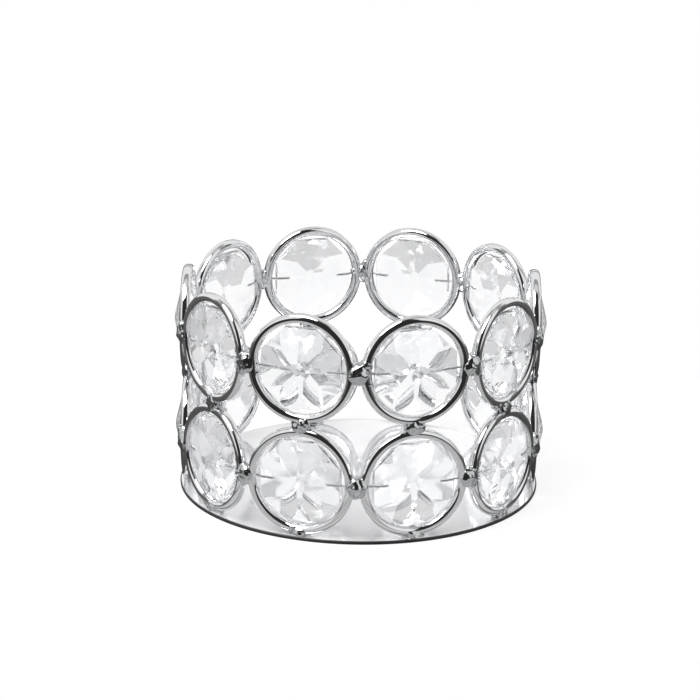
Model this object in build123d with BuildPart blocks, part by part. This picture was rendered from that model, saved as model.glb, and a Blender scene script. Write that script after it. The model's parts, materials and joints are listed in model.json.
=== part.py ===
from build123d import *
from math import atan2, cos, degrees, radians, sin, tan
import os

# Candle holder: two tiers of chromed hoops stand in a ten-sided ring on a round plate.
# Each hoop faces outwards and holds an eight-sided cut crystal, which turns on two wire pins.
# Millimetres. +Z is up, and the origin is the centre of the plate's underside.

# Hoops
hoops_per_tier = 10
hoop_outside_diameter = 24.2
hoop_wall = 2.0  # the section's depth in the plane of the hoop
hoop_width = 2.3  # the section's width along the hoop's axis
hoop_edge_radius = 0.9  # on the four edges of the section
side_gap = 1.14  # between neighbouring hoops of a tier
tier_gap = 1.0  # between an upper hoop and the lower hoop under it

# Base plate
plate_thickness = 0.8
plate_overhang = 0.85  # beyond the outward faces of the hoops
plate_edge_radius = 0.3
base_gap = 0.2  # solder between a lower hoop and the plate

# Crystals
crystal_sides = 8
crystal_clearance = 0.35  # between a crystal's corners and its hoop
crystal_thickness = 6.0
table_across_flats = 1.6
rim_at_corners = 1.4  # rim thickness at the corners, where the main facets end
rim_at_bevels = 1.7  # rim thickness under the triangular bevels
bevel_depth = 3.2  # from the rim inwards, along the ridge between two main facets

# Wire pins, one across each joint between neighbouring hoops
pin_diameter = 0.4
pin_engagement = 3.0  # how far a pin reaches into a crystal
pin_bend_radius = 1.0
bore_clearance = 0.08  # around a pin in a crystal
bore_end_clearance = 0.3  # from a pin's end to the floor of its bore
hoop_hole_clearance = 0.05  # around a pin in a hoop

# Solder beads
bead_diameter = 3.8
bead_length = 4.6

# Most of a wall that one rounded edge may take
rounding_share = 0.45

# Sizes that follow from those above
hoop_pitch_angle = 360 / hoops_per_tier
half_pitch_angle = hoop_pitch_angle / 2
hoop_pitch = hoop_outside_diameter + side_gap
ring_radius = hoop_pitch / (2 * tan(radians(half_pitch_angle)))  # axis to the hoops' mid-planes
joint_radius = ring_radius / cos(radians(half_pitch_angle))  # axis to where two mid-planes meet
hoop_radius = hoop_outside_diameter / 2
lower_centre_height = plate_thickness + base_gap + hoop_radius
upper_centre_height = lower_centre_height + hoop_outside_diameter + tier_gap
tier_joint_height = (lower_centre_height + upper_centre_height) / 2
tier_centre_heights = {"upper": upper_centre_height, "lower": lower_centre_height}

crystal_corner_radius = hoop_radius - hoop_wall - crystal_clearance
side_half_angle = 180 / crystal_sides
crystal_apothem = crystal_corner_radius * cos(radians(side_half_angle))
main_facet_rise = (crystal_thickness - rim_at_corners) / 2
main_facet_slope = main_facet_rise / (crystal_corner_radius - table_across_flats / 2)
apex_height = crystal_thickness / 2 + main_facet_slope * table_across_flats / 2
pin_end_reach = crystal_apothem - pin_engagement  # hoop centre to a pin's end


def outward(angle):
    """Direction away from the holder's axis, at an angle counted from the front."""
    return Vector(sin(radians(angle)), -cos(radians(angle)), 0)


def sideways(angle):
    """Level direction along the ring, at an angle counted from the front."""
    return Vector(cos(radians(angle)), sin(radians(angle)), 0)


def facing_plane(angle, radius, height):
    """Upright plane that faces outwards, with local X along the ring and local Y up."""
    origin = outward(angle) * radius + Vector(0, 0, height)
    return Plane(origin, x_dir=sideways(angle), z_dir=outward(angle))


def level_plane(angle, radius, height):
    """Level plane, with local X along the ring and local Y towards the holder's axis."""
    origin = outward(angle) * radius + Vector(0, 0, height)
    return Plane(origin, x_dir=sideways(angle), z_dir=(0, 0, 1))


def along_plane(angle, radius, height):
    """Upright plane that faces along the ring, with local X up."""
    origin = outward(angle) * radius + Vector(0, 0, height)
    return Plane(origin, x_dir=(0, 0, 1), z_dir=sideways(angle))


def export(piece, name):
    """Names a finished piece and writes it to its own file."""
    piece.part.label = name
    export_step(piece.part, f"parts/{name}.step")


os.makedirs("parts", exist_ok=True)
hoop_angles = [half_pitch_angle + hoop_pitch_angle * i for i in range(hoops_per_tier)]
joint_angles = [hoop_pitch_angle * i for i in range(hoops_per_tier)]

# Base plate: a polished disc with a rounded edge
plate_radius = ring_radius + hoop_width / 2 + plate_overhang
with BuildPart() as base_plate:
    with BuildSketch(Plane.XY):
        Circle(plate_radius)
    extrude(amount=plate_thickness)
    fillet(base_plate.edges(), min(plate_edge_radius, rounding_share * plate_thickness))
export(base_plate, "base_plate")

# Hoop in its own plane: a rounded section turned about the hoop's axis, with a hole for a pin on each side
section_plane = Plane((0, 0, 0), x_dir=(1, 1, 0), z_dir=(1, -1, 0))  # between the hoop's joints
with BuildPart() as hoop_pattern:
    with BuildSketch(section_plane):
        with Locations((hoop_radius - hoop_wall / 2, 0)):
            RectangleRounded(hoop_wall, hoop_width, min(hoop_edge_radius, rounding_share * hoop_wall))
    revolve(axis=Axis.Z)
    with BuildSketch(Plane.YZ):
        Circle(pin_diameter / 2 + hoop_hole_clearance)
    extrude(amount=hoop_radius, both=True, mode=Mode.SUBTRACT)

# Crystal in its own plane: an eight-sided disc, ground to main facets that point at the corners
# and bevels that stand on the sides, with a blind bore in the left and the right side
with BuildPart() as crystal_pattern:
    with BuildSketch(Plane.XY):
        RegularPolygon(crystal_corner_radius, crystal_sides, rotation=side_half_angle)
    extrude(amount=crystal_thickness / 2, both=True)
    ridge_reach = crystal_apothem - bevel_depth
    ridge_height = apex_height - main_facet_slope * cos(radians(side_half_angle)) * ridge_reach
    bevel_angle = degrees(atan2(ridge_height - rim_at_bevels / 2, bevel_depth))
    main_angle = degrees(atan2(main_facet_slope, 1))
    for face in (1, -1):
        for side in range(crystal_sides):
            side_turn = 2 * side_half_angle * side
            corner_turn = side_turn + side_half_angle
            main_lean = Vector(0, 0, face).rotate(Axis.Y, face * main_angle).rotate(Axis.Z, corner_turn)
            split(bisect_by=Plane((0, 0, face * apex_height), z_dir=main_lean), keep=Keep.BOTTOM)
            bevel_foot = Vector(crystal_apothem, 0, face * rim_at_bevels / 2).rotate(Axis.Z, side_turn)
            bevel_lean = Vector(0, 0, face).rotate(Axis.Y, face * bevel_angle).rotate(Axis.Z, side_turn)
            split(bisect_by=Plane(bevel_foot, z_dir=bevel_lean), keep=Keep.BOTTOM)
    bore_floor = pin_end_reach - bore_end_clearance
    for hand in (1, -1):
        with BuildSketch(Plane.YZ.offset(hand * bore_floor)):
            Circle(pin_diameter / 2 + bore_clearance)
        extrude(amount=hand * crystal_corner_radius, mode=Mode.SUBTRACT)

# Pin in a level plane: a wire bent at the joint, with an arm along the axis of each of the two hoops
pin_arm = ring_radius * tan(radians(half_pitch_angle)) - pin_end_reach
arm_across = pin_arm * cos(radians(half_pitch_angle))
arm_inwards = pin_arm * sin(radians(half_pitch_angle))
with BuildPart() as pin_pattern:
    with BuildLine() as pin_path:
        FilletPolyline(
            (-arm_across, arm_inwards), (0, 0), (arm_across, arm_inwards), radius=pin_bend_radius
        )
    with BuildSketch(Plane(pin_path.line @ 0, z_dir=pin_path.line % 0)):
        Circle(pin_diameter / 2)
    sweep()

# Solder bead: a short round-ended rod, long in local Z
with BuildPart() as bead_pattern:
    with BuildSketch(Plane.XZ):
        SlotOverall(bead_length, bead_diameter, rotation=90)
        split(bisect_by=Plane.YZ)
    revolve(axis=Axis.Z)

# Hoops and crystals, numbered from the front towards +X
hoops = {"upper": [], "lower": []}
for tier, height in tier_centre_heights.items():
    for number, angle in enumerate(hoop_angles, start=1):
        station = facing_plane(angle, ring_radius, height)
        with BuildPart() as hoop:
            with Locations(station):
                add(hoop_pattern.part)
        export(hoop, f"{tier}_hoop_{number:02d}")
        hoops[tier].append(hoop.part)
        with BuildPart() as crystal:
            with Locations(station):
                add(crystal_pattern.part)
        export(crystal, f"{tier}_crystal_{number:02d}")

# Pins of each tier, and the solder beads around their bends, which close the gaps between the hoops
for tier, height in tier_centre_heights.items():
    joint_planes = [level_plane(angle, joint_radius, height) for angle in joint_angles]
    with BuildPart() as crystal_pins:
        with Locations(joint_planes):
            add(pin_pattern.part)
    export(crystal_pins, f"{tier}_crystal_pins")
    with BuildPart() as side_joints:
        with Locations(joint_planes):
            add(bead_pattern.part)
        add(hoops[tier], mode=Mode.SUBTRACT)
        add(crystal_pins.part, mode=Mode.SUBTRACT)
    export(side_joints, f"{tier}_side_joints")

# Solder beads between the two tiers
with BuildPart() as tier_joints:
    with Locations([along_plane(angle, ring_radius, tier_joint_height) for angle in hoop_angles]):
        add(bead_pattern.part)
    add(hoops["upper"], mode=Mode.SUBTRACT)
    add(hoops["lower"], mode=Mode.SUBTRACT)
export(tier_joints, "tier_joints")

# Solder beads between the lower hoops and the plate
with BuildPart() as base_joints:
    foot_height = plate_thickness + base_gap / 2
    with Locations([along_plane(angle, ring_radius, foot_height) for angle in hoop_angles]):
        add(bead_pattern.part)
    split(bisect_by=Plane.XY.offset(plate_thickness), keep=Keep.TOP)
    add(hoops["lower"], mode=Mode.SUBTRACT)
export(base_joints, "base_joints")
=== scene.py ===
"""Looks of the crystal candle holder: chromed hoops, cut crystals, wire pins, solder and a satin plate."""

import json
import logging
import math
from dataclasses import dataclass
from enum import Enum

import bmesh
import bpy
from mathutils import Matrix, Vector


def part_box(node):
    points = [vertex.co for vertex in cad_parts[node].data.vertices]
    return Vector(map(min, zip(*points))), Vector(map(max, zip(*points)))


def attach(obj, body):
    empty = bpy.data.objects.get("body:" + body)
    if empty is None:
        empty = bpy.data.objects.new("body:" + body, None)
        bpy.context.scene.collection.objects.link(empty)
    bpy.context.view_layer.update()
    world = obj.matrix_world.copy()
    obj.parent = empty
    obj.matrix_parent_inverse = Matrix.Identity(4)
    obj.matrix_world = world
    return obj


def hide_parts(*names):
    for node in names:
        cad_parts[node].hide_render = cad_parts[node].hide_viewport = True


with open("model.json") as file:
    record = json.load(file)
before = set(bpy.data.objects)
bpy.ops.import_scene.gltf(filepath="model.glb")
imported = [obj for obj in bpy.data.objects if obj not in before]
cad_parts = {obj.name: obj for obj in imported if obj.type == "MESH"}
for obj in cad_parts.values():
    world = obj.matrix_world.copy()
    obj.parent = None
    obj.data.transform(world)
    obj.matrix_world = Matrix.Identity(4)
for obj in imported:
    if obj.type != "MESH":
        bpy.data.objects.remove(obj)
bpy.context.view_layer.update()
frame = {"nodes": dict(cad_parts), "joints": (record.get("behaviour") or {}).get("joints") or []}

log = logging.getLogger("candle_holder")
Colour = tuple[float, float, float]
Span = tuple[float, float]
MM = 0.001
HOLDER = "holder"
HOOPS_PER_TIER = 10
PITCH_ANGLE = math.tau / HOOPS_PER_TIER
HALF_PITCH = PITCH_ANGLE / 2


class Tier(Enum):
    """The two rings of hoops."""

    UPPER = "upper"
    LOWER = "lower"


class Slot(Enum):
    """The finishes that the pieces take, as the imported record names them."""

    PLATE = "plate"
    HOOP = "hoop"
    CRYSTAL = "crystal"
    WIRE = "wire"
    SOLDER = "solder"


@dataclass(frozen=True)
class Station:
    """Where one hoop stands: its centre, and the level direction along the ring there."""

    tier: Tier
    number: int
    centre: Vector
    along: Vector

    def label(self, part: str) -> str:
        """The node's name of this station's hoop or crystal."""
        return f"{self.tier.value}_{part}_{self.number:02d}"


def read_stations() -> list[Station]:
    """Reads every hoop's place from the joint of the crystal in it.

    Returns:
        The stations of both tiers, in the order of the record.
    """
    joints = {joint["name"]: joint for joint in frame["joints"]}
    stations = []
    for tier in Tier:
        for number in range(1, HOOPS_PER_TIER + 1):
            joint = joints[f"{tier.value}_crystal_{number:02d}_turn"]
            stations.append(Station(tier, number, Vector(joint["pos_m"]), Vector(joint["axis"])))
    return stations


class NodeSketch:
    """A node tree under construction."""

    def __init__(self, tree: bpy.types.NodeTree) -> None:
        """Starts on a tree, which may hold nodes already."""
        self.tree = tree

    def node(self, kind: str, inputs: dict | None = None, **settings: object) -> bpy.types.Node:
        """Adds a node.

        Args:
            kind: Blender's name for the kind of node.
            inputs: values or sockets for its inputs, by name or place.
            settings: values of the node's own settings.

        Returns:
            The new node.
        """
        node = self.tree.nodes.new(kind)
        for name, value in settings.items():
            setattr(node, name, value)
        for key, value in (inputs or {}).items():
            self.feed(node.inputs[key], value)
        return node

    def feed(self, socket: bpy.types.NodeSocket, value: object) -> None:
        """Links a socket to an input, or sets the input's own value.

        Args:
            socket: the input.
            value: the socket to link, or a plain value.
        """
        if isinstance(value, bpy.types.NodeSocket):
            self.tree.links.new(value, socket)
        else:
            socket.default_value = value

    def math(self, operation: str, *terms: object) -> bpy.types.NodeSocket:
        """Adds a Math node and returns its result."""
        return self.node("ShaderNodeMath", dict(enumerate(terms)), operation=operation).outputs[0]

    def vector_math(self, operation: str, *terms: object) -> bpy.types.NodeSocket:
        """Adds a Vector Math node and returns its vector."""
        return self.node("ShaderNodeVectorMath", dict(enumerate(terms)), operation=operation).outputs[0]

    def scaled(self, vector: object, factor: object) -> bpy.types.NodeSocket:
        """Multiplies a vector by a number."""
        inputs = {0: vector, "Scale": factor}
        return self.node("ShaderNodeVectorMath", inputs, operation="SCALE").outputs[0]

    def length(self, vector: object) -> bpy.types.NodeSocket:
        """Measures a vector."""
        return self.node("ShaderNodeVectorMath", {0: vector}, operation="LENGTH").outputs["Value"]

    def joined(self, **axes: object) -> bpy.types.NodeSocket:
        """Makes a vector of its X, Y and Z, where one left out is nothing."""
        return self.node("ShaderNodeCombineXYZ", axes).outputs[0]

    def spread(self, value: object, span: Span, to_low: float, to_high: float) -> bpy.types.NodeSocket:
        """Maps one range onto another smoothly.

        Args:
            value: the socket to map.
            span: the values that give to_low and to_high.
            to_low: result at the low end.
            to_high: result at the high end.

        Returns:
            The mapped result.
        """
        low, high = span
        ranges = {"Value": value, "From Min": low, "From Max": high, "To Min": to_low, "To Max": to_high}
        return self.node("ShaderNodeMapRange", ranges, interpolation_type="SMOOTHSTEP").outputs[0]


@dataclass(frozen=True)
class Pattern:
    """Noise on a surface: its patches' width, its octaves and the values that count as none and full."""

    size: float
    detail: float = 2.0
    rough: float = 0.5
    span: Span = (0.35, 0.7)


class Surface(NodeSketch):
    """A procedural material with one Principled shader."""

    def __init__(self, name: str) -> None:
        """Makes the material with its shader and output."""
        self.material = bpy.data.materials.new(name)
        self.material.use_nodes = True
        super().__init__(self.material.node_tree)
        self.shader = self.tree.nodes["Principled BSDF"]
        self.coordinates = self.node("ShaderNodeTexCoord").outputs["Object"]

    def set(self, **inputs: object) -> None:
        """Sets the shader's inputs, with underscores for the spaces in their names."""
        for name, value in inputs.items():
            self.feed(self.shader.inputs[name.replace("_", " ")], value)

    def noise(self, pattern: Pattern) -> bpy.types.NodeSocket:
        """Noise on Object coordinates.

        Args:
            pattern: the noise's width and octaves.

        Returns:
            A value that averages a half.
        """
        inputs = {
            "Vector": self.coordinates, "Scale": 1.0 / pattern.size,
            "Detail": pattern.detail, "Roughness": pattern.rough,
        }
        return self.node("ShaderNodeTexNoise", inputs).outputs["Fac"]

    def tint(self, factor: object, first: Colour, second: Colour) -> bpy.types.NodeSocket:
        """Blends two colours.

        Args:
            factor: share of the second colour.
            first: red, green and blue at 0.
            second: red, green and blue at 1.

        Returns:
            The blended colour.
        """
        mix = self.node("ShaderNodeMix", data_type="RGBA")
        self.feed(mix.inputs["Factor"], factor)
        colours = [s for s in mix.inputs if s.type == "RGBA"]
        colours[0].default_value = (*first, 1.0)
        colours[1].default_value = (*second, 1.0)
        return next(s for s in mix.outputs if s.type == "RGBA")

    def bump(self, height: object, depth: float) -> None:
        """Raises the surface by a height of 0 to 1, times a depth in metres."""
        inputs = {"Height": height, "Distance": depth, "Strength": 1.0}
        self.set(Normal=self.node("ShaderNodeBump", inputs).outputs["Normal"])


@dataclass(frozen=True)
class ChromeFinish:
    """Bright plating on the bent hoop strip, with faint ripples and haze."""

    bright: Colour = (0.82, 0.82, 0.83)
    dull: Colour = (0.70, 0.71, 0.72)
    ripple: Pattern = Pattern(3.2 * MM, detail=1.0)
    ripple_depth: float = 0.012 * MM
    haze: Pattern = Pattern(1.4 * MM, detail=4.0, rough=0.6, span=(0.35, 0.75))
    smooth: float = 0.05
    hazy: float = 0.12

    def material(self) -> bpy.types.Material:
        """Builds the plating.

        Returns:
            The hoops' material.
        """
        surface = Surface("hoop_chrome")
        haze = surface.noise(self.haze)
        surface.set(Metallic=1.0, Base_Color=surface.tint(haze, self.bright, self.dull))
        surface.set(Roughness=surface.spread(haze, self.haze.span, self.smooth, self.hazy))
        surface.bump(surface.noise(self.ripple), self.ripple_depth)
        return surface.material


@dataclass(frozen=True)
class CutGlassFinish:
    """Clear lead glass, cut and polished, with faint polishing haze."""

    clear: Colour = (1.0, 1.0, 1.0)
    cool: Colour = (0.965, 0.975, 0.995)
    ior: float = 1.56
    cloud: Pattern = Pattern(5.0 * MM)
    haze: Pattern = Pattern(0.8 * MM, detail=4.0, span=(0.4, 0.7))
    smooth: float = 0.03
    hazy: float = 0.07

    def material(self) -> bpy.types.Material:
        """Builds the polished glass.

        Returns:
            The facets' material.
        """
        surface = Surface("cut_glass")
        surface.set(IOR=self.ior, Transmission_Weight=1.0)
        surface.set(Base_Color=surface.tint(surface.noise(self.cloud), self.clear, self.cool))
        haze = surface.noise(self.haze)
        surface.set(Roughness=surface.spread(haze, self.haze.span, self.smooth, self.hazy))
        return surface.material


@dataclass(frozen=True)
class GroundFinish:
    """Ground glass in the crystals' drilled bores."""

    pale: Colour = (0.90, 0.91, 0.92)
    grey: Colour = (0.78, 0.80, 0.82)
    ior: float = 1.56
    grain: Pattern = Pattern(0.12 * MM, detail=3.0)
    roughness: float = 0.45

    def material(self) -> bpy.types.Material:
        """Builds the ground glass.

        Returns:
            The bores' material.
        """
        surface = Surface("ground_glass")
        surface.set(IOR=self.ior, Transmission_Weight=1.0, Roughness=self.roughness)
        surface.set(Base_Color=surface.tint(surface.noise(self.grain), self.pale, self.grey))
        return surface.material


@dataclass(frozen=True)
class WireFinish:
    """Drawn steel wire."""

    bright: Colour = (0.50, 0.50, 0.51)
    dark: Colour = (0.30, 0.30, 0.31)
    streak: Pattern = Pattern(0.35 * MM, detail=3.0, span=(0.3, 0.7))
    smooth: float = 0.16
    rough: float = 0.34

    def material(self) -> bpy.types.Material:
        """Builds the wire's surface.

        Returns:
            The pins' material.
        """
        surface = Surface("drawn_wire")
        streak = surface.noise(self.streak)
        surface.set(Metallic=1.0, Base_Color=surface.tint(streak, self.bright, self.dark))
        surface.set(Roughness=surface.spread(streak, self.streak.span, self.smooth, self.rough))
        return surface.material


@dataclass(frozen=True)
class SolderFinish:
    """Plated solder, uneven and a little dull in patches."""

    bright: Colour = (0.74, 0.75, 0.76)
    dull: Colour = (0.36, 0.37, 0.38)
    patch: Pattern = Pattern(0.9 * MM, detail=3.0)
    grain: Pattern = Pattern(0.18 * MM)
    grain_depth: float = 0.006 * MM
    smooth: float = 0.04
    rough: float = 0.2

    def material(self) -> bpy.types.Material:
        """Builds the solder's surface.

        Returns:
            The joints' material.
        """
        surface = Surface("plated_solder")
        patch = surface.noise(self.patch)
        surface.set(Metallic=1.0, Base_Color=surface.tint(patch, self.bright, self.dull))
        surface.set(Roughness=surface.spread(patch, self.patch.span, self.smooth, self.rough))
        surface.bump(surface.noise(self.grain), self.grain_depth)
        return surface.material


@dataclass(frozen=True)
class PlateFinish:
    """Spun and lacquered plate: a pale soft mirror with faint rings and smudges."""

    bright: Colour = (0.96, 0.96, 0.97)
    dull: Colour = (0.90, 0.90, 0.92)
    metal_share: float = 0.6
    ring_pitch: float = 0.35 * MM
    ring_detail: float = 2.0
    ring_depth: float = 0.002 * MM
    smudge: Pattern = Pattern(9.0 * MM, detail=3.0)
    smooth: float = 0.07
    rough: float = 0.12

    def material(self) -> bpy.types.Material:
        """Builds the spun surface.

        Returns:
            The plate's material.
        """
        surface = Surface("spun_plate")
        smudge = surface.noise(self.smudge)
        surface.set(Metallic=self.metal_share, Base_Color=surface.tint(smudge, self.bright, self.dull))
        surface.set(Roughness=surface.spread(smudge, self.smudge.span, self.smooth, self.rough))
        radius = surface.length(surface.vector_math("MULTIPLY", surface.coordinates, (1.0, 1.0, 0.0)))
        inputs = {"W": radius, "Scale": 1.0 / self.ring_pitch, "Detail": self.ring_detail}
        rings = surface.node("ShaderNodeTexNoise", inputs, noise_dimensions="1D").outputs["Fac"]
        surface.bump(rings, self.ring_depth)
        return surface.material


@dataclass(frozen=True)
class EdgeShadowFinish:
    """The plate's cut edge, painted near black: a painted contact shadow where the plate meets the floor."""

    dark: Colour = (0.012, 0.012, 0.013)
    lighter_shadow: Colour = (0.035, 0.035, 0.037)
    patch: Pattern = Pattern(1.1 * MM, detail=3.0)
    roughness: float = 0.42

    def material(self) -> bpy.types.Material:
        """Builds the painted contact shadow on the edge.

        Returns:
            The edge's material.
        """
        surface = Surface("painted_edge_shadow")
        # Painted contact shadow: a near-black base colour with slightly lighter patches.
        surface.set(Base_Color=surface.tint(surface.noise(self.patch), self.dark, self.lighter_shadow))
        surface.set(Roughness=self.roughness)
        return surface.material


class ShapeTree(NodeSketch):
    """A Geometry Nodes tree under construction, with named inputs."""

    def __init__(self, name: str) -> None:
        """Makes the tree with its input and output nodes."""
        super().__init__(bpy.data.node_groups.new(name, "GeometryNodeTree"))
        self.tree.interface.new_socket("Shape", in_out="OUTPUT", socket_type="NodeSocketGeometry")
        self._given = self.tree.nodes.new("NodeGroupInput")
        self._made = self.tree.nodes.new("NodeGroupOutput")
        self._finish = self.given("Finish", "Material")

    def given(self, name: str, kind: str = "Float") -> bpy.types.NodeSocket:
        """Adds a named input.

        Args:
            name: the input's name.
            kind: Float, Int, Vector or Material.

        Returns:
            The socket that carries it.
        """
        self.tree.interface.new_socket(name, in_out="INPUT", socket_type=f"NodeSocket{kind}")
        return self._given.outputs[name]

    def step(self, kind: str, inputs: dict | None = None, **settings: object) -> bpy.types.NodeSocket:
        """Adds a Geometry node, named without its prefix, and returns its first result."""
        return self.node(f"GeometryNode{kind}", inputs, **settings).outputs[0]

    def end(self, shape: bpy.types.NodeSocket) -> None:
        """Closes the tree: whole, smooth and in its finish.

        Args:
            shape: the finished shape, which may hold instances.
        """
        whole = self.step("RealizeInstances", {"Geometry": shape})
        smooth = self.step("SetShadeSmooth", {"Geometry": whole})
        dressed = self.step("SetMaterial", {"Geometry": smooth, "Material": self._finish})
        self.tree.links.new(dressed, self._made.inputs["Shape"])

    def round_axis(self, place: object, angle: object) -> bpy.types.NodeSocket:
        """Turns a place at the front round the holder's axis."""
        inputs = {"Vector": place, "Angle": angle}
        return self.node("ShaderNodeVectorRotate", inputs, rotation_type="Z_AXIS").outputs[0]

    def ring_copies(self, shape: object, radius: object, height: object) -> bpy.types.NodeSocket:
        """Sets copies of a shape round the holder's axis, one pitch apart, the first at the front.

        Args:
            shape: the shape, with local X along the ring, local Y towards the axis and local Z up.
            radius: distance of the copies from the axis.
            height: their height.

        Returns:
            The instances.
        """
        angle = self.math("MULTIPLY", self.step("InputIndex"), PITCH_ANGLE)
        front = self.joined(Y=self.math("MULTIPLY", radius, -1.0), Z=height)
        points = self.step("Points", {"Count": HOOPS_PER_TIER, "Position": self.round_axis(front, angle)})
        inputs = {"Points": points, "Instance": shape, "Rotation": self.joined(Z=angle)}
        return self.step("InstanceOnPoints", inputs)

    def random(self, low: object, high: object, seed: object) -> bpy.types.NodeSocket:
        """Gives each point its own random vector between two vectors."""
        inputs = {0: low, 1: high, "Seed": seed}
        return self.node("FunctionNodeRandomValue", inputs, data_type="FLOAT_VECTOR").outputs[0]

    def grow(self, name: str, values: dict) -> bpy.types.Object:
        """Runs the tree and keeps its result as a plain mesh.

        Args:
            name: the new piece's name.
            values: values of the named inputs.

        Returns:
            The piece, at the origin.
        """
        seed = add_object(f"{name}_seed", bpy.data.meshes.new(f"{name}_seed"))
        modifier = seed.modifiers.new("shape", "NODES")
        modifier.node_group = self.tree
        for item in self.tree.interface.items_tree:
            if item.in_out == "INPUT":
                modifier[item.identifier] = values[item.name]
        graph = bpy.context.evaluated_depsgraph_get()
        mesh = bpy.data.meshes.new_from_object(seed.evaluated_get(graph), depsgraph=graph)
        mesh.name = name
        bpy.data.objects.remove(seed)
        return add_object(name, mesh)


def add_object(name: str, data: bpy.types.ID) -> bpy.types.Object:
    """Links a new object to the scene, at the origin.

    Args:
        name: the object's name.
        data: its mesh, light or camera.

    Returns:
        The new object.
    """
    piece = bpy.data.objects.new(name, data)
    bpy.context.scene.collection.objects.link(piece)
    return piece


def settle(piece: bpy.types.Object, body: str, node: str) -> None:
    """Lets a finished piece ride on a body and stand for a node.

    Args:
        piece: the finished piece.
        body: name of the body that carries it.
        node: name of the node that it stands for.
    """
    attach(piece, body)
    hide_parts(node)
    log.info("%s: %d faces on %s", piece.name, len(piece.data.polygons), body)


@dataclass
class HoopRings:
    """The twenty hoops of both tiers."""

    stations: list[Station]
    finish: bpy.types.Material
    wall: float = 2.0 * MM
    edge_radius: float = 0.9 * MM
    ring_steps: int = 144
    corner_steps: int = 8
    level_tolerance: float = 1e-6

    def shape(self) -> ShapeTree:
        """Builds the tree of one hoop: a rounded strip section carried round a circle.

        Returns:
            The tree, with the hoop's sizes and place as inputs.
        """
        tree = ShapeTree("hoop_shape")
        wall = tree.given("Wall")
        middle = tree.math("SUBTRACT", tree.given("Outside Radius"), tree.math("MULTIPLY", wall, 0.5))
        path = tree.step("CurvePrimitiveCircle", {"Resolution": self.ring_steps, "Radius": middle})
        strip = tree.step("CurvePrimitiveQuadrilateral", {"Width": wall, "Height": tree.given("Width")})
        section = tree.step("FilletCurve", {
            "Curve": strip, "Radius": tree.given("Edge Radius"), "Count": self.corner_steps,
        }, mode="POLY")
        hoop = tree.step("CurveToMesh", {"Curve": path, "Profile Curve": section})
        upright = tree.joined(X=math.pi / 2, Z=tree.given("Turn"))
        tree.end(tree.step("Transform", {
            "Geometry": hoop, "Translation": tree.given("Centre", "Vector"), "Rotation": upright,
        }))
        return tree

    def build(self) -> None:
        """Makes a hoop at each station."""
        tree = self.shape()
        width = self.strip_width()
        for station in self.stations:
            node = station.label("hoop")
            low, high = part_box(node)
            piece = tree.grow(f"{node}_chrome", {
                "Finish": self.finish, "Wall": self.wall, "Outside Radius": (high.z - low.z) / 2,
                "Width": width, "Edge Radius": self.edge_radius,
                "Turn": math.atan2(station.along.y, station.along.x), "Centre": station.centre,
            })
            settle(piece, HOLDER, node)

    def strip_width(self) -> float:
        """The strip's width along a hoop's axis.

        Returns:
            The width of a hoop that faces straight along X, in metres.
        """
        sideways = next(s for s in self.stations if abs(s.along.x) < self.level_tolerance)
        low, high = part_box(sideways.label("hoop"))
        return high.x - low.x


@dataclass
class CutCrystals:
    """The twenty crystals, each on its own body."""

    stations: list[Station]
    glass: bpy.types.Material
    ground: bpy.types.Material
    edge_round: float = 0.07 * MM
    bore_reach: float = 0.5 * MM
    merge_distance: float = 0.0005 * MM
    flat_angle: float = math.radians(0.5)

    def build(self) -> None:
        """Makes each crystal from its solid, with the facets' edges a little rounded."""
        for station in self.stations:
            node = station.label("crystal")
            mesh = frame["nodes"][node].data.copy()
            mesh.name = f"{node}_glass"
            mesh.materials.clear()
            mesh.materials.append(self.glass)
            mesh.materials.append(self.ground)
            self.cut(mesh, station)
            settle(add_object(f"{node}_glass", mesh), node, node)

    def cut(self, mesh: bpy.types.Mesh, station: Station) -> None:
        """Joins the solid's triangles to whole facets and eases their edges.

        Args:
            mesh: the crystal's mesh, changed in place.
            station: where the crystal sits.
        """
        work = bmesh.new()
        work.from_mesh(mesh)
        bmesh.ops.remove_doubles(work, verts=work.verts, dist=self.merge_distance)
        bmesh.ops.dissolve_limit(work, angle_limit=self.flat_angle, verts=work.verts, edges=work.edges)
        for face in work.faces:
            face.smooth = False
            face.material_index = 1 if self.in_bore(face, station) else 0
        edges = [e for e in work.edges if all(f.material_index == 0 for f in e.link_faces)]
        bmesh.ops.bevel(work, geom=edges, offset=self.edge_round, segments=1, profile=0.5, affect="EDGES",
                        clamp_overlap=True)
        work.to_mesh(mesh)
        work.free()

    def in_bore(self, face: bmesh.types.BMFace, station: Station) -> bool:
        """Says if a face belongs to one of the two drilled bores.

        Args:
            face: a face of the crystal.
            station: where the crystal sits.

        Returns:
            True where all its corners lie close to the bores' axis.
        """
        axis = station.along
        for vert in face.verts:
            arm = vert.co - station.centre
            if (arm - axis * arm.dot(axis)).length > self.bore_reach:
                return False
        return True


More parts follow.
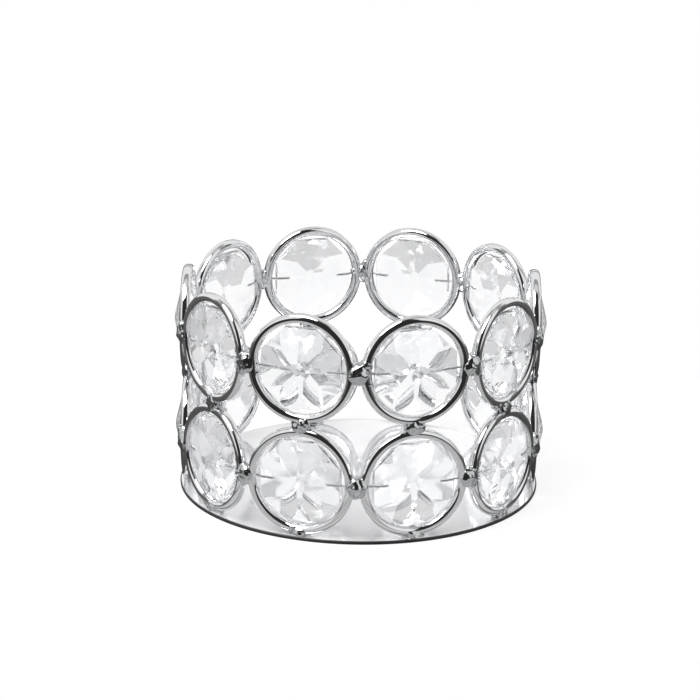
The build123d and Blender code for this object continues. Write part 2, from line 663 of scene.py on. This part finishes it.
@dataclass
class CrystalPins:
    """The bent wire pins across the joints between neighbouring hoops."""

    stations: list[Station]
    finish: bpy.types.Material
    bend_radius: float = 1.0 * MM
    end_reach: float = 6.0 * MM
    path_points: int = 3
    bend_point: float = 1.0
    index_tolerance: float = 0.1
    bend_steps: int = 8
    round_steps: int = 16

    def shape(self) -> ShapeTree:
        """Builds the tree of one tier's pins: a wire bent at each joint.

        Returns:
            The tree, with the pins' sizes and places as inputs.
        """
        tree = ShapeTree("pin_shape")
        across = tree.given("Arm Across")
        inwards = tree.given("Arm Inwards")
        ends = [tree.joined(X=tree.math("MULTIPLY", across, hand), Y=inwards) for hand in (-1.0, 1.0)]
        line = tree.step("CurvePrimitiveLine", {"Start": ends[0], "End": ends[1]})
        points = tree.step("ResampleCurve", {"Curve": line, "Count": self.path_points})
        middle = tree.math("COMPARE", tree.step("InputIndex"), self.bend_point, self.index_tolerance)
        offset = tree.joined(Y=tree.math("MULTIPLY", inwards, -1.0))
        bent = tree.step("SetPosition", {"Geometry": points, "Selection": middle, "Offset": offset})
        eased = tree.step("FilletCurve", {
            "Curve": bent, "Radius": tree.given("Bend Radius"), "Count": self.bend_steps,
        }, mode="POLY")
        section = tree.step("CurvePrimitiveCircle", {
            "Resolution": self.round_steps, "Radius": tree.math("MULTIPLY", tree.given("Diameter"), 0.5),
        })
        wire = tree.step("CurveToMesh", {"Curve": eased, "Profile Curve": section, "Fill Caps": True})
        tree.end(tree.ring_copies(wire, tree.given("Joint Radius"), tree.given("Height")))
        return tree

    def build(self) -> None:
        """Makes each tier's pins."""
        tree = self.shape()
        for tier in Tier:
            ring = next(s for s in self.stations if s.tier == tier)
            radius = ring.centre.to_2d().length
            arm = radius * math.tan(HALF_PITCH) - self.end_reach
            node = f"{tier.value}_crystal_pins"
            low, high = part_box(node)
            piece = tree.grow(f"{node}_wire", {
                "Finish": self.finish, "Arm Across": arm * math.cos(HALF_PITCH),
                "Arm Inwards": arm * math.sin(HALF_PITCH), "Bend Radius": self.bend_radius,
                "Diameter": high.z - low.z, "Joint Radius": radius / math.cos(HALF_PITCH),
                "Height": ring.centre.z,
            })
            settle(piece, HOLDER, node)


@dataclass(frozen=True)
class SolderGroup:
    """Ten joints of one kind, which make one piece."""

    node: str
    radius: float
    height: float
    first_angle: float
    spread: tuple[float, float, float]


@dataclass
class SolderJoints:
    """The lumps of solder between hoops, between tiers and on the plate."""

    stations: list[Station]
    finish: bpy.types.Material
    plate_top: float
    blobs_per_joint: int = 7
    core_radii: tuple[float, float, float] = (2.45 * MM, 1.65 * MM, 2.5 * MM)
    blob_radii: Span = (0.6 * MM, 1.15 * MM)
    side_spread: tuple[float, float, float] = (2.2 * MM, 0.9 * MM, 2.4 * MM)
    level_spread: tuple[float, float, float] = (2.9 * MM, 0.9 * MM, 1.4 * MM)
    ball_steps: int = 3
    lump_size: float = 1.5 * MM
    lump_detail: float = 1.0
    lump_depth: float = 0.7 * MM
    voxel: float = 0.15 * MM
    band_voxels: float = 3.0
    skin_threshold: float = 0.1
    melt_steps: int = 4
    sink: float = 0.05 * MM
    seed: int = 7

    def shape(self) -> ShapeTree:
        """Builds the tree of ten joints: each a core with stray blobs, melted together and roughened.

        Returns:
            The tree, with the joints' places, spread and seed as inputs.
        """
        tree = ShapeTree("solder_shape")
        seed = tree.given("Seed", "Int")
        index = tree.step("InputIndex")
        joint = tree.math("FLOOR", tree.math("DIVIDE", index, float(self.blobs_per_joint)))
        angle = tree.math("MULTIPLY_ADD", joint, PITCH_ANGLE, tree.given("First Angle"))
        stray = tree.math("MINIMUM", tree.math("MODULO", index, float(self.blobs_per_joint)), 1.0)
        spread = tree.given("Spread", "Vector")
        offset = tree.random(tree.scaled(spread, -1.0), spread, seed)
        front = tree.joined(Y=tree.math("MULTIPLY", tree.given("Radius"), -1.0), Z=tree.given("Height"))
        place = tree.round_axis(tree.vector_math("ADD", front, tree.scaled(offset, stray)), angle)
        count = HOOPS_PER_TIER * self.blobs_per_joint
        points = tree.step("Points", {"Count": count, "Position": place})
        sizes = tree.random(*((radius,) * 3 for radius in self.blob_radii), seed)
        core = tree.scaled(self.core_radii, tree.math("SUBTRACT", 1.0, stray))
        ball = tree.step("MeshIcoSphere", {"Radius": 1.0, "Subdivisions": self.ball_steps})
        blobs = tree.step("InstanceOnPoints", {
            "Points": points, "Instance": ball, "Rotation": tree.joined(Z=angle),
            "Scale": tree.vector_math("MAXIMUM", sizes, core),
        })
        tree.end(self.melted(tree, tree.step("RealizeInstances", {"Geometry": blobs})))
        return tree

    def melted(self, tree: ShapeTree, blobs: bpy.types.NodeSocket) -> bpy.types.NodeSocket:
        """Runs blobs together to lumpy drops that stay above the plate.

        Args:
            tree: the tree under construction.
            blobs: the loose blobs.

        Returns:
            The drops' shape.
        """
        volume = tree.step("MeshToVolume", {
            "Mesh": blobs, "Voxel Size": self.voxel, "Interior Band Width": self.band_voxels * self.voxel,
        }, resolution_mode="VOXEL_SIZE")
        skin = tree.step("VolumeToMesh", {"Volume": volume, "Threshold": self.skin_threshold})
        place = tree.step("InputPosition")
        eased = tree.step("BlurAttribute", {"Value": place, "Iterations": self.melt_steps},
                          data_type="FLOAT_VECTOR")
        soft = tree.step("SetPosition", {"Geometry": skin, "Position": eased})
        lumps = {"Vector": place, "Scale": 1.0 / self.lump_size, "Detail": self.lump_detail}
        noise = tree.node("ShaderNodeTexNoise", lumps).outputs["Fac"]
        push = tree.math("MULTIPLY", tree.math("SUBTRACT", noise, 0.5), self.lump_depth)
        bulge = tree.scaled(tree.step("InputNormal"), push)
        lumpy = tree.step("SetPosition", {"Geometry": soft, "Offset": bulge})
        parts = tree.node("ShaderNodeSeparateXYZ", {0: place}).outputs
        height = tree.math("MAXIMUM", parts["Z"], tree.given("Lowest"))
        raised = tree.joined(X=parts["X"], Y=parts["Y"], Z=height)
        return tree.step("SetPosition", {"Geometry": lumpy, "Position": raised})

    def groups(self) -> list[SolderGroup]:
        """Lists the four kinds of joints.

        Returns:
            The groups, in the order of their seeds.
        """
        upper, lower = (next(s for s in self.stations if s.tier == tier).centre for tier in Tier)
        radius = upper.to_2d().length
        corner_radius = radius / math.cos(HALF_PITCH)
        between = (upper.z + lower.z) / 2
        return [
            SolderGroup("upper_side_joints", corner_radius, upper.z, 0.0, self.side_spread),
            SolderGroup("lower_side_joints", corner_radius, lower.z, 0.0, self.side_spread),
            SolderGroup("tier_joints", radius, between, HALF_PITCH, self.level_spread),
            SolderGroup("base_joints", radius, self.plate_top, HALF_PITCH, self.level_spread),
        ]

    def build(self) -> None:
        """Makes the four groups of joints."""
        tree = self.shape()
        for number, group in enumerate(self.groups()):
            piece = tree.grow(f"{group.node}_solder", {
                "Finish": self.finish, "Radius": group.radius, "Height": group.height,
                "First Angle": group.first_angle, "Spread": group.spread, "Seed": self.seed + number,
                "Lowest": self.plate_top - self.sink,
            })
            settle(piece, HOLDER, group.node)


@dataclass
class BasePlate:
    """The round plate that the candle stands on."""

    top: bpy.types.Material
    # The second material is the painted contact shadow on the rounded rim.
    edge: bpy.types.Material
    edge_radius: float = 0.3 * MM
    flat_margin: float = 0.04 * MM
    steps: int = 256
    edge_steps: int = 5
    rings: int = 6

    def build(self) -> None:
        """Turns the plate's outline about the holder's axis."""
        low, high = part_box("base_plate")
        radius = high.x
        flat_reach = radius - self.edge_radius - self.flat_margin
        reaches = [flat_reach * i / self.rings for i in range(1, self.rings + 1)]
        outline = [(reach, high.z) for reach in reaches]
        for corner, start in ((high.z - self.edge_radius, 90.0), (low.z + self.edge_radius, 0.0)):
            for step in range(self.edge_steps + 1):
                angle = math.radians(start - 90.0 * step / self.edge_steps)
                reach = radius - self.edge_radius + self.edge_radius * math.cos(angle)
                outline.append((reach, corner + self.edge_radius * math.sin(angle)))
        outline += [(reach, low.z) for reach in reversed(reaches)]
        piece = add_object("base_plate_spun", self.turned("base_plate_spun", outline))
        settle(piece, HOLDER, "base_plate")

    def turned(self, name: str, outline: list[tuple[float, float]]) -> bpy.types.Mesh:
        """Turns an outline to a closed mesh.

        Args:
            name: the mesh's name.
            outline: radius and height of each ring, from the top's middle to the underside's.

        Returns:
            The mesh, with faces that point outwards.
        """
        work = bmesh.new()
        loops = []
        for reach, height in outline:
            angles = [math.tau * i / self.steps for i in range(self.steps)]
            loops.append([work.verts.new((reach * math.cos(a), reach * math.sin(a), height)) for a in angles])
        poles = [work.verts.new((0.0, 0.0, outline[end][1])) for end in (0, -1)]
        for i in range(self.steps):
            j = (i + 1) % self.steps
            work.faces.new((poles[0], loops[0][i], loops[0][j]))
            work.faces.new((poles[1], loops[-1][j], loops[-1][i]))
            for upper, lower in zip(loops, loops[1:]):
                work.faces.new((upper[i], lower[i], lower[j], upper[j]))
        rim_start = max(reach for reach, _ in outline) - self.edge_radius
        # Faces on the rounded rim take the second material, the painted contact shadow.
        for face in work.faces:
            face.smooth = True
            face.material_index = 1 if face.calc_center_median().to_2d().length > rim_start else 0
        bmesh.ops.recalc_face_normals(work, faces=work.faces)
        mesh = bpy.data.meshes.new(name)
        work.to_mesh(mesh)
        work.free()
        mesh.materials.append(self.top)
        mesh.materials.append(self.edge)
        return mesh


@dataclass(frozen=True)
class LightPanel:
    """A pale panel of the studio, the same on the left and the right, as angles in degrees."""

    azimuth: Span
    elevation: Span
    level: float


@dataclass
class Studio:
    """Floor, panels of light, lamp and camera."""

    azimuth: float = 0.68
    elevation: float = 17.15
    roll: float = 0.73
    distance: float = 548.1 * MM
    target: tuple[float, float, float] = (-2.32 * MM, 0.0, 31.17 * MM)
    lens: float = 124.1
    sensor_width: float = 36.0
    clip_start: float = 10.0 * MM
    dark: float = 0.03
    front_through_glass: float = 0.6
    front_fade: Span = (30.0, 50.0)
    softness: float = 2.0
    panels: tuple[LightPanel, ...] = (
        LightPanel((38.0, 88.0), (0.0, 60.0), 1.0),
        LightPanel((103.0, 135.0), (0.0, 56.0), 1.0),
        LightPanel((130.0, 190.0), (17.0, 20.9), 1.0),
        LightPanel((130.0, 190.0), (18.0, 25.0), 0.62),
        LightPanel((130.0, 190.0), (23.5, 56.0), 1.0),
        LightPanel((130.0, 162.0), (4.0, 19.0), 1.0),
        LightPanel((130.0, 190.0), (4.0, 12.5), 1.0),
        LightPanel((50.0, 190.0), (72.0, 95.0), 0.8),
        LightPanel((50.0, 190.0), (-95.0, 24.0), 0.13),
        LightPanel((50.0, 190.0), (22.0, 75.0), 0.4),
    )
    floor_radius: float = 118.0 * MM
    floor_steps: int = 96
    floor_glow: float = 0.84
    floor_through_glass: float = 0.6
    floor_matt: float = 0.18
    # Darker diffuse shade for glossy rays: the floor is painted darker in the metal's reflections.
    floor_mirrored: float = 0.07
    # A patch that glows only for glossy rays, pale with dark rings: painted reflections on the chrome.
    patch_level: float = 0.6
    patch_dark: float = 0.2
    patch_rings: float = 11.0 * MM
    patch_ring_span: Span = (-1.0, -0.2)
    patch_centre: float = -60.0 * MM
    patch_reach: Span = (80.0 * MM, 45.0 * MM)
    patch_fade: Span = (0.85, 1.15)
    lamp_size: float = 0.5
    lamp_power: float = 5.3
    lamp_place: tuple[float, float, float] = (-0.25, -0.2, 0.7)
    bounces: int = 32
    inner_bounces: int = 24

    def build(self) -> None:
        """Sets up everything around the holder."""
        self.add_world()
        self.add_floor()
        self.add_lamp()
        self.add_camera()
        scene = bpy.context.scene
        scene.view_settings.view_transform = "Standard"
        scene.cycles.max_bounces = self.bounces
        scene.cycles.glossy_bounces = self.inner_bounces
        scene.cycles.transmission_bounces = self.inner_bounces

    def add_world(self) -> None:
        """Makes the surroundings: white to the eye, dark between pale panels to the metal."""
        world = bpy.data.worlds.new("studio")
        bpy.context.scene.world = world
        world.use_nodes = True
        sketch = NodeSketch(world.node_tree)
        direction = sketch.node("ShaderNodeTexCoord").outputs["Generated"]
        axes = sketch.node("ShaderNodeSeparateXYZ", {0: direction}).outputs
        elevation = sketch.math("DEGREES", sketch.math("ARCSINE", axes["Z"]))
        back = sketch.math("MULTIPLY", axes["Y"], -1.0)
        bearing = sketch.math("DEGREES", sketch.math("ARCTAN2", axes["X"], back))
        azimuth = sketch.math("ABSOLUTE", bearing)
        path = sketch.node("ShaderNodeLightPath").outputs
        level = self.dark
        for panel in self.panels:
            inside = sketch.math("MULTIPLY", self.within(sketch, azimuth, panel.azimuth),
                                 self.within(sketch, elevation, panel.elevation))
            level = sketch.math("MAXIMUM", level, sketch.math("MULTIPLY", inside, panel.level))
        pale = sketch.spread(azimuth, self.front_fade, self.front_through_glass, 1.0)
        level = sketch.math("MAXIMUM", level, sketch.math("MULTIPLY", path["Is Transmission Ray"], pale))
        level = sketch.math("MAXIMUM", level, path["Is Camera Ray"])
        sketch.feed(world.node_tree.nodes["Background"].inputs["Color"], level)

    def within(self, sketch: NodeSketch, value: bpy.types.NodeSocket, span: Span) -> bpy.types.NodeSocket:
        """Finds what lies inside a span of angles.

        Args:
            sketch: the world's node tree.
            value: the angle, in degrees.
            span: lowest and highest angle.

        Returns:
            One inside the span, falling softly to nothing outside it.
        """
        half = self.softness / 2
        low, high = span
        rise = sketch.spread(value, (low - half, low + half), 0.0, 1.0)
        fall = sketch.spread(value, (high - half, high + half), 1.0, 0.0)
        return sketch.math("MULTIPLY", rise, fall)

    def add_floor(self) -> None:
        """Makes the pale floor, which shows white and keeps the holder's shadow."""
        work = bmesh.new()
        bmesh.ops.create_circle(work, cap_ends=True, segments=self.floor_steps, radius=self.floor_radius)
        mesh = bpy.data.meshes.new("floor")
        work.to_mesh(mesh)
        work.free()
        mesh.materials.append(self.floor_finish())
        add_object("floor", mesh)

    def floor_finish(self) -> bpy.types.Material:
        """Builds the floor's surface: white to the eye, with a pale ringed patch in front for the metal,
        which glows only for glossy rays as a painted reflection of pale and dark rings on the chrome.

        Returns:
            The floor's material.
        """
        material = bpy.data.materials.new("pale_floor")
        material.use_nodes = True
        nodes = material.node_tree.nodes
        nodes.remove(nodes["Principled BSDF"])
        sketch = NodeSketch(material.node_tree)
        path = sketch.node("ShaderNodeLightPath").outputs
        place = sketch.node("ShaderNodeTexCoord").outputs["Object"]
        # Painted reflection: a pale patch with dark rings, seen only by glossy rays.
        away = sketch.vector_math("SUBTRACT", place, (0.0, self.patch_centre, 0.0))
        far = sketch.length(sketch.vector_math("DIVIDE", away, (*self.patch_reach, 1.0)))
        waves = sketch.math("MULTIPLY", sketch.length(place), math.tau / self.patch_rings)
        ring = sketch.math("SINE", waves)
        level = sketch.spread(ring, self.patch_ring_span, self.patch_dark, self.patch_level)
        near = sketch.math("MULTIPLY", sketch.spread(far, self.patch_fade, 1.0, 0.0), level)
        patch = sketch.math("MULTIPLY", near, path["Is Glossy Ray"])
        direct = sketch.math("MULTIPLY", path["Is Camera Ray"], self.floor_glow)
        through = sketch.math("MULTIPLY", path["Is Transmission Ray"], self.floor_through_glass)
        seen = sketch.math("MAXIMUM", patch, sketch.math("MAXIMUM", direct, through))
        # Glossy rays see a darker diffuse floor: the floor is painted darker in reflections.
        darker = self.floor_mirrored - self.floor_matt
        shade = sketch.math("MULTIPLY_ADD", path["Is Glossy Ray"], darker, self.floor_matt)
        matt = sketch.node("ShaderNodeBsdfDiffuse", {"Color": shade})
        glow = sketch.node("ShaderNodeEmission", {"Strength": seen})
        both = sketch.node("ShaderNodeAddShader", {0: matt.outputs[0], 1: glow.outputs[0]})
        sketch.feed(nodes["Material Output"].inputs["Surface"], both.outputs[0])
        return material

    def add_lamp(self) -> None:
        """Hangs a soft lamp over the holder, a little to the front and left."""
        lamp = bpy.data.lights.new("overhead_lamp", "AREA")
        lamp.shape = "DISK"
        lamp.size = self.lamp_size
        lamp.energy = self.lamp_power
        hung = add_object("overhead_lamp", lamp)
        hung.location = self.lamp_place
        hung.rotation_euler = (-hung.location).to_track_quat("-Z", "Y").to_euler()

    def add_camera(self) -> None:
        """Sets the camera at the photograph's viewing angle."""
        azimuth, elevation, roll = (math.radians(a) for a in (self.azimuth, self.elevation, self.roll))
        right = Vector((math.cos(azimuth), math.sin(azimuth), 0.0))
        level_back = Vector((math.sin(azimuth), -math.cos(azimuth), 0.0))
        back = level_back * math.cos(elevation) + Vector((0.0, 0.0, math.sin(elevation)))
        up = back.cross(right)
        tilted_right = right * math.cos(roll) + up * math.sin(roll)
        tilted_up = up * math.cos(roll) - right * math.sin(roll)
        lens = bpy.data.cameras.new("camera")
        lens.sensor_width = self.sensor_width
        lens.lens = self.lens
        lens.clip_start = self.clip_start
        camera = add_object("camera", lens)
        turn = Matrix((tilted_right, tilted_up, back)).transposed().to_4x4()
        camera.matrix_world = Matrix.Translation(Vector(self.target) + back * self.distance) @ turn
        bpy.context.scene.camera = camera


def main() -> None:
    """Dresses the holder piece by piece and sets it in the studio."""
    logging.basicConfig(level=logging.INFO, format="%(name)s: %(message)s")
    stations = read_stations()
    BasePlate(PlateFinish().material(), EdgeShadowFinish().material()).build()
    HoopRings(stations, ChromeFinish().material()).build()
    CutCrystals(stations, CutGlassFinish().material(), GroundFinish().material()).build()
    CrystalPins(stations, WireFinish().material()).build()
    SolderJoints(stations, SolderFinish().material(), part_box("base_plate")[1].z).build()
    Studio().build()


if __name__ == "__main__":
    main()
